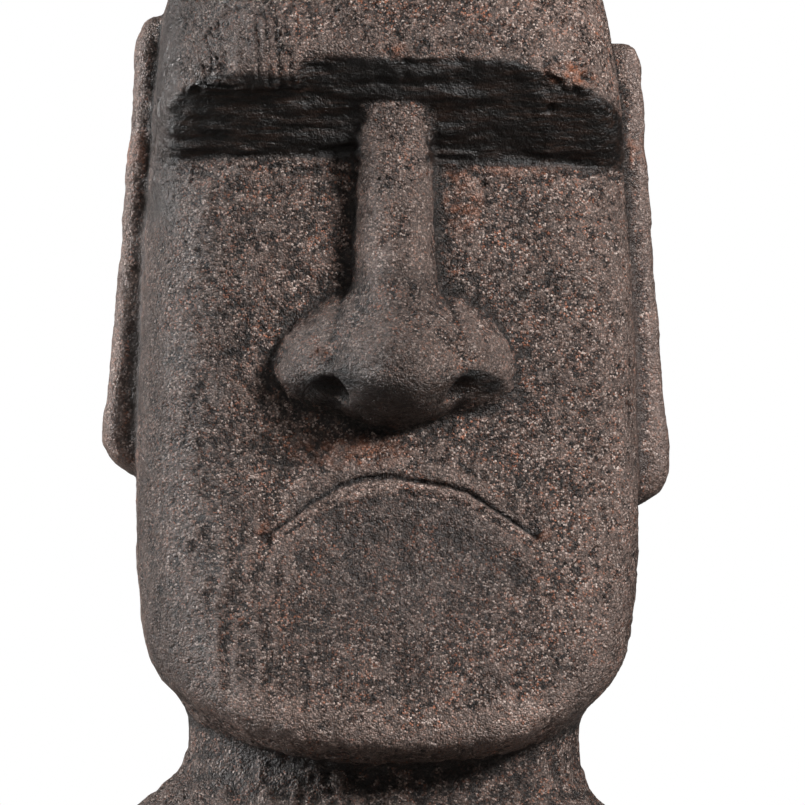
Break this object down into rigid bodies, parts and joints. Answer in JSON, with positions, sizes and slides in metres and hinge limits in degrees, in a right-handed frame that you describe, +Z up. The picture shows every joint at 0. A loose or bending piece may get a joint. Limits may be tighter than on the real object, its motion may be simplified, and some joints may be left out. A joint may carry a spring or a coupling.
{
  "type": "moai head statue",
  "caption": "Cast moai bust: a long stern head with a heavy brow, broad nose, pursed mouth and long ears on a neck and shoulders cut flat below.",
  "frame": {"origin": "middle of the flat underside's bounding box, on the surface that the bust stands on", "axes": "+Z up from the underside to the crown, the face looks along -Y, +X towards the ear on the right of someone facing the statue"},
  "size_m": [0.334, 0.24, 0.6],
  "materials": {
    "bronzed_cast_stone": "satin"
  },
  "bodies": {
    "root": {"moai_bust": "bronzed_cast_stone"}
  },
  "joints": []
}
